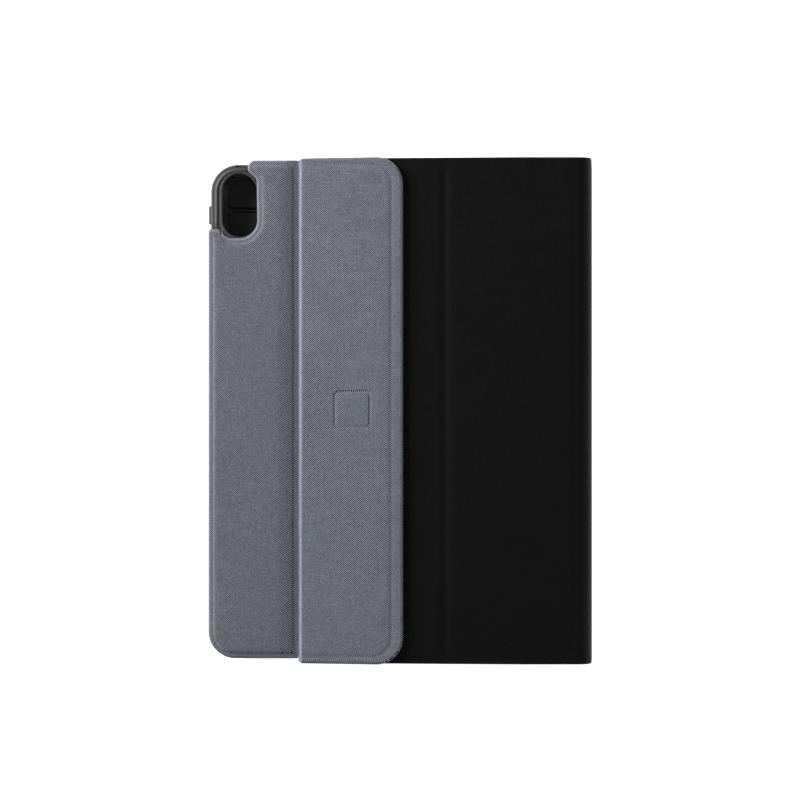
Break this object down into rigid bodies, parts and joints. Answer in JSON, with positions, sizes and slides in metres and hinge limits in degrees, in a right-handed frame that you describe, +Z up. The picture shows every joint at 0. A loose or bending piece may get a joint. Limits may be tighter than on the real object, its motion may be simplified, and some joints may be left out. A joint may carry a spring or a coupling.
{
  "type": "tablet keyboard case",
  "caption": "Folding tablet case, closed: woven back with a camera window and lifting flap, black leatherette cover, soft tablet tray and a keyboard inside.",
  "frame": {"origin": "middle of the closed case's footprint, on the surface it lies on", "axes": "+X along the long side, +Y towards the spine, +Z up, out of the woven back"},
  "size_m": [0.2594, 0.1962, 0.0228],
  "materials": {
    "leatherette": "matt black leatherette with a fine grain",
    "stiffener_board": "stiff board, lined on its open side with dark microfibre",
    "case_plastic": "fine matt texture",
    "keycap_plastic": "smooth matt",
    "silicone_rubber": "matt",
    "circuit_board": "solder mask",
    "battery_foil": "laminated foil",
    "steel": "plated",
    "clear_lens": "milky light pipe",
    "soft_shell": "satin soft shell, dark grey",
    "woven_fabric": "blue-grey melange basket weave"
  },
  "bodies": {
    "keyboard_base": {"front_skin": "leatherette", "front_board": "stiffener_board", "lower_case": "case_plastic", "key_deck": "case_plastic", "key_membrane": "silicone_rubber", "control_board": "circuit_board", "battery_pack": "battery_foil", "charging_port": "steel", "status_lens": "clear_lens"},
    "spine": {"spine_skin": "leatherette", "spine_board": "stiffener_board"},
    "prop_panel": {"prop_skin": "leatherette", "prop_board": "stiffener_board"},
    "tray": {"tray_shell": "soft_shell", "fabric_panel": "woven_fabric", "mid_skin": "leatherette", "mid_board": "stiffener_board"},
    "flap": {"flap_skin": "woven_fabric", "flap_board": "stiffener_board", "flap_magnet": "steel"},
    "power_switch": {"power_switch": "keycap_plastic"},
    "volume_up": {"volume_up_cover": "soft_shell"},
    "volume_down": {"volume_down_cover": "soft_shell"},
    "key_a": {"key_a": "keycap_plastic"},
    "key_b": {"key_b": "keycap_plastic"},
    "key_c": {"key_c": "keycap_plastic"},
    "key_caps_lock": {"key_caps_lock": "keycap_plastic"},
    "key_d": {"key_d": "keycap_plastic"},
    "key_e": {"key_e": "keycap_plastic"},
    "key_f": {"key_f": "keycap_plastic"},
    "key_g": {"key_g": "keycap_plastic"},
    "key_h": {"key_h": "keycap_plastic"},
    "key_i": {"key_i": "keycap_plastic"},
    "key_j": {"key_j": "keycap_plastic"},
    "key_k": {"key_k": "keycap_plastic"},
    "key_l": {"key_l": "keycap_plastic"},
    "key_m": {"key_m": "keycap_plastic"},
    "key_n": {"key_n": "keycap_plastic"},
    "key_o": {"key_o": "keycap_plastic"},
    "key_p": {"key_p": "keycap_plastic"},
    "key_q": {"key_q": "keycap_plastic"},
    "key_r": {"key_r": "keycap_plastic"},
    "key_s": {"key_s": "keycap_plastic"},
    "key_shift": {"key_shift": "keycap_plastic"},
    "key_space": {"key_space": "keycap_plastic"},
    "key_t": {"key_t": "keycap_plastic"},
    "key_tab": {"key_tab": "keycap_plastic"},
    "key_u": {"key_u": "keycap_plastic"},
    "key_v": {"key_v": "keycap_plastic"},
    "key_w": {"key_w": "keycap_plastic"},
    "key_x": {"key_x": "keycap_plastic"},
    "key_y": {"key_y": "keycap_plastic"},
    "key_z": {"key_z": "keycap_plastic"},
    "bank_arrows": {"bank_arrows": "keycap_plastic"},
    "bank_brackets": {"bank_brackets": "keycap_plastic"},
    "bank_comma_to_up": {"bank_comma_to_up": "keycap_plastic"},
    "bank_function": {"bank_function": "keycap_plastic"},
    "bank_modifiers_left": {"bank_modifiers_left": "keycap_plastic"},
    "bank_numbers": {"bank_numbers": "keycap_plastic"},
    "bank_semicolon_to_enter": {"bank_semicolon_to_enter": "keycap_plastic"}
  },
  "joints": [
    {"name": "cover_open", "type": "hinge", "parent": "keyboard_base", "child": "spine", "pos_m": [0, 0.0965, 0.0013], "axis": [-1, 0, 0], "range_deg": [0, 60]},
    {"name": "back_open", "type": "hinge", "parent": "spine", "child": "prop_panel", "pos_m": [0, 0.096, 0.0192], "axis": [-1, 0, 0], "range_deg": [0, 90]},
    {"name": "mid_fold", "type": "hinge", "parent": "prop_panel", "child": "tray", "pos_m": [0, 0.023, 0.0203], "axis": [-1, 0, 0], "range_deg": [0, 26]},
    {"name": "flap_lift", "type": "hinge", "parent": "tray", "child": "flap", "pos_m": [0, -0.0519, 0.0206], "axis": [1, 0, 0], "range_deg": [0, 130]},
    {"name": "power_switch_slide", "type": "slide", "parent": "keyboard_base", "child": "power_switch", "axis": [0, 1, 0], "range_m": [0, 0.0025]},
    {"name": "button_volume_up", "type": "slide", "parent": "tray", "child": "volume_up", "axis": [0, 1, 0], "range_m": [0, 0.0004], "stiffness_N_per_m": 1500, "springref_m": -0.0002},
    {"name": "button_volume_down", "type": "slide", "parent": "tray", "child": "volume_down", "axis": [0, 1, 0], "range_m": [0, 0.0004], "stiffness_N_per_m": 1500, "springref_m": -0.0002},
    {"name": "press_a", "type": "slide", "parent": "keyboard_base", "child": "key_a", "axis": [0, 0, -1], "range_m": [0, 0.0012], "stiffness_N_per_m": 320, "springref_m": -0.0006},
    {"name": "press_b", "type": "slide", "parent": "keyboard_base", "child": "key_b", "axis": [0, 0, -1], "range_m": [0, 0.0012], "stiffness_N_per_m": 320, "springref_m": -0.0006},
    {"name": "press_c", "type": "slide", "parent": "keyboard_base", "child": "key_c", "axis": [0, 0, -1], "range_m": [0, 0.0012], "stiffness_N_per_m": 320, "springref_m": -0.0006},
    {"name": "press_caps_lock", "type": "slide", "parent": "keyboard_base", "child": "key_caps_lock", "axis": [0, 0, -1], "range_m": [0, 0.0012], "stiffness_N_per_m": 320, "springref_m": -0.0006},
    {"name": "press_d", "type": "slide", "parent": "keyboard_base", "child": "key_d", "axis": [0, 0, -1], "range_m": [0, 0.0012], "stiffness_N_per_m": 320, "springref_m": -0.0006},
    {"name": "press_e", "type": "slide", "parent": "keyboard_base", "child": "key_e", "axis": [0, 0, -1], "range_m": [0, 0.0012], "stiffness_N_per_m": 320, "springref_m": -0.0006},
    {"name": "press_f", "type": "slide", "parent": "keyboard_base", "child": "key_f", "axis": [0, 0, -1], "range_m": [0, 0.0012], "stiffness_N_per_m": 320, "springref_m": -0.0006},
    {"name": "press_g", "type": "slide", "parent": "keyboard_base", "child": "key_g", "axis": [0, 0, -1], "range_m": [0, 0.0012], "stiffness_N_per_m": 320, "springref_m": -0.0006},
    {"name": "press_h", "type": "slide", "parent": "keyboard_base", "child": "key_h", "axis": [0, 0, -1], "range_m": [0, 0.0012], "stiffness_N_per_m": 320, "springref_m": -0.0006},
    {"name": "press_i", "type": "slide", "parent": "keyboard_base", "child": "key_i", "axis": [0, 0, -1], "range_m": [0, 0.0012], "stiffness_N_per_m": 320, "springref_m": -0.0006},
    {"name": "press_j", "type": "slide", "parent": "keyboard_base", "child": "key_j", "axis": [0, 0, -1], "range_m": [0, 0.0012], "stiffness_N_per_m": 320, "springref_m": -0.0006},
    {"name": "press_k", "type": "slide", "parent": "keyboard_base", "child": "key_k", "axis": [0, 0, -1], "range_m": [0, 0.0012], "stiffness_N_per_m": 320, "springref_m": -0.0006},
    {"name": "press_l", "type": "slide", "parent": "keyboard_base", "child": "key_l", "axis": [0, 0, -1], "range_m": [0, 0.0012], "stiffness_N_per_m": 320, "springref_m": -0.0006},
    {"name": "press_m", "type": "slide", "parent": "keyboard_base", "child": "key_m", "axis": [0, 0, -1], "range_m": [0, 0.0012], "stiffness_N_per_m": 320, "springref_m": -0.0006},
    {"name": "press_n", "type": "slide", "parent": "keyboard_base", "child": "key_n", "axis": [0, 0, -1], "range_m": [0, 0.0012], "stiffness_N_per_m": 320, "springref_m": -0.0006},
    {"name": "press_o", "type": "slide", "parent": "keyboard_base", "child": "key_o", "axis": [0, 0, -1], "range_m": [0, 0.0012], "stiffness_N_per_m": 320, "springref_m": -0.0006},
    {"name": "press_p", "type": "slide", "parent": "keyboard_base", "child": "key_p", "axis": [0, 0, -1], "range_m": [0, 0.0012], "stiffness_N_per_m": 320, "springref_m": -0.0006},
    {"name": "press_q", "type": "slide", "parent": "keyboard_base", "child": "key_q", "axis": [0, 0, -1], "range_m": [0, 0.0012], "stiffness_N_per_m": 320, "springref_m": -0.0006},
    {"name": "press_r", "type": "slide", "parent": "keyboard_base", "child": "key_r", "axis": [0, 0, -1], "range_m": [0, 0.0012], "stiffness_N_per_m": 320, "springref_m": -0.0006},
    {"name": "press_s", "type": "slide", "parent": "keyboard_base", "child": "key_s", "axis": [0, 0, -1], "range_m": [0, 0.0012], "stiffness_N_per_m": 320, "springref_m": -0.0006},
    {"name": "press_shift", "type": "slide", "parent": "keyboard_base", "child": "key_shift", "axis": [0, 0, -1], "range_m": [0, 0.0012], "stiffness_N_per_m": 320, "springref_m": -0.0006},
    {"name": "press_space", "type": "slide", "parent": "keyboard_base", "child": "key_space", "axis": [0, 0, -1], "range_m": [0, 0.0012], "stiffness_N_per_m": 320, "springref_m": -0.0006},
    {"name": "press_t", "type": "slide", "parent": "keyboard_base", "child": "key_t", "axis": [0, 0, -1], "range_m": [0, 0.0012], "stiffness_N_per_m": 320, "springref_m": -0.0006},
    {"name": "press_tab", "type": "slide", "parent": "keyboard_base", "child": "key_tab", "axis": [0, 0, -1], "range_m": [0, 0.0012], "stiffness_N_per_m": 320, "springref_m": -0.0006},
    {"name": "press_u", "type": "slide", "parent": "keyboard_base", "child": "key_u", "axis": [0, 0, -1], "range_m": [0, 0.0012], "stiffness_N_per_m": 320, "springref_m": -0.0006},
    {"name": "press_v", "type": "slide", "parent": "keyboard_base", "child": "key_v", "axis": [0, 0, -1], "range_m": [0, 0.0012], "stiffness_N_per_m": 320, "springref_m": -0.0006},
    {"name": "press_w", "type": "slide", "parent": "keyboard_base", "child": "key_w", "axis": [0, 0, -1], "range_m": [0, 0.0012], "stiffness_N_per_m": 320, "springref_m": -0.0006},
    {"name": "press_x", "type": "slide", "parent": "keyboard_base", "child": "key_x", "axis": [0, 0, -1], "range_m": [0, 0.0012], "stiffness_N_per_m": 320, "springref_m": -0.0006},
    {"name": "press_y", "type": "slide", "parent": "keyboard_base", "child": "key_y", "axis": [0, 0, -1], "range_m": [0, 0.0012], "stiffness_N_per_m": 320, "springref_m": -0.0006},
    {"name": "press_z", "type": "slide", "parent": "keyboard_base", "child": "key_z", "axis": [0, 0, -1], "range_m": [0, 0.0012], "stiffness_N_per_m": 320, "springref_m": -0.0006},
    {"name": "press_bank_arrows", "type": "slide", "parent": "keyboard_base", "child": "bank_arrows", "axis": [0, 0, -1], "range_m": [0, 0.0012], "stiffness_N_per_m": 320, "springref_m": -0.0006},
    {"name": "press_bank_brackets", "type": "slide", "parent": "keyboard_base", "child": "bank_brackets", "axis": [0, 0, -1], "range_m": [0, 0.0012], "stiffness_N_per_m": 320, "springref_m": -0.0006},
    {"name": "press_bank_comma_to_up", "type": "slide", "parent": "keyboard_base", "child": "bank_comma_to_up", "axis": [0, 0, -1], "range_m": [0, 0.0012], "stiffness_N_per_m": 320, "springref_m": -0.0006},
    {"name": "press_bank_function", "type": "slide", "parent": "keyboard_base", "child": "bank_function", "axis": [0, 0, -1], "range_m": [0, 0.0012], "stiffness_N_per_m": 320, "springref_m": -0.0006},
    {"name": "press_bank_modifiers_left", "type": "slide", "parent": "keyboard_base", "child": "bank_modifiers_left", "axis": [0, 0, -1], "range_m": [0, 0.0012], "stiffness_N_per_m": 320, "springref_m": -0.0006},
    {"name": "press_bank_numbers", "type": "slide", "parent": "keyboard_base", "child": "bank_numbers", "axis": [0, 0, -1], "range_m": [0, 0.0012], "stiffness_N_per_m": 320, "springref_m": -0.0006},
    {"name": "press_bank_semicolon_to_enter", "type": "slide", "parent": "keyboard_base", "child": "bank_semicolon_to_enter", "axis": [0, 0, -1], "range_m": [0, 0.0012], "stiffness_N_per_m": 320, "springref_m": -0.0006}
  ],
  "couplings": [
    {"joint": "mid_fold", "follows": "back_open", "ratio": 0.28}
  ]
}
